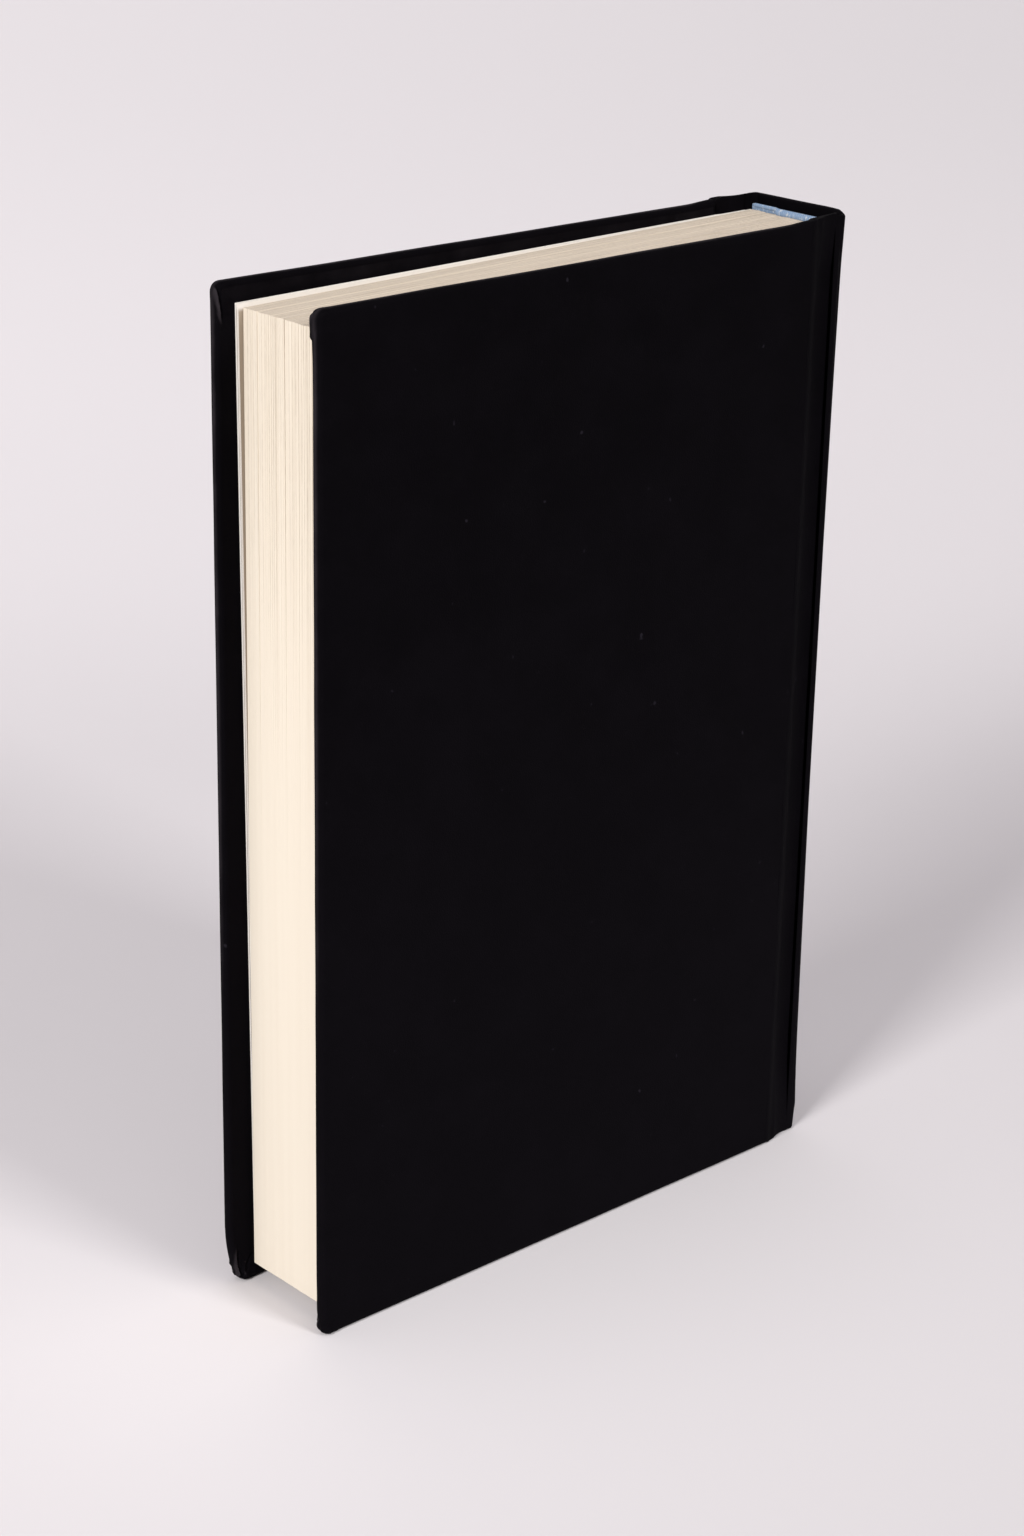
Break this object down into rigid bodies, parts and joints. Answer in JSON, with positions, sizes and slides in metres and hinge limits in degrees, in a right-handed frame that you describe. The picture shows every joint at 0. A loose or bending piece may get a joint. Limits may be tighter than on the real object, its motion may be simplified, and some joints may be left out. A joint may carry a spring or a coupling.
{
  "type": "hardback book",
  "caption": "Closed hardback book standing on its tail: plain black leather-look case, white end leaves, cream page edges, blue head bands and covers hinged at the grooves.",
  "frame": {"origin": "centre of the closed book's bounding box, on the floor that it stands on", "axes": "+X from the fore edge to the spine, +Y towards the front cover, +Z from tail to head"},
  "size_m": [0.16, 0.0352, 0.2369],
  "materials": {
    "page_paper": "uncoated cream leaves with fine lines at their edges",
    "end_paper": "smooth white paper",
    "lining": "open cloth and paper, matt",
    "band": "light blue woven band with white flecks",
    "card": "matt grey card",
    "board": "dense grey board",
    "covering": "black leather-look covering with a fine grain and a soft sheen at its edges"
  },
  "bodies": {
    "block": {"text_block": "page_paper", "front_end_leaves": "end_paper", "back_end_leaves": "end_paper", "spine_lining": "lining", "head_band": "band", "tail_band": "band", "spine_inlay": "card", "spine_covering": "covering"},
    "front_cover": {"front_board": "board", "front_covering": "covering", "front_pastedown": "end_paper"},
    "back_cover": {"back_board": "board", "back_covering": "covering", "back_pastedown": "end_paper"}
  },
  "joints": [
    {"name": "front_cover_hinge", "type": "hinge", "parent": "block", "child": "front_cover", "pos_m": [0.07738, 0.01308, 0.118], "axis": [0, 0, -1], "range_deg": [0, 180]},
    {"name": "back_cover_hinge", "type": "hinge", "parent": "block", "child": "back_cover", "pos_m": [0.07738, -0.01452, 0.118], "axis": [0, 0, 1], "range_deg": [0, 180]}
  ]
}
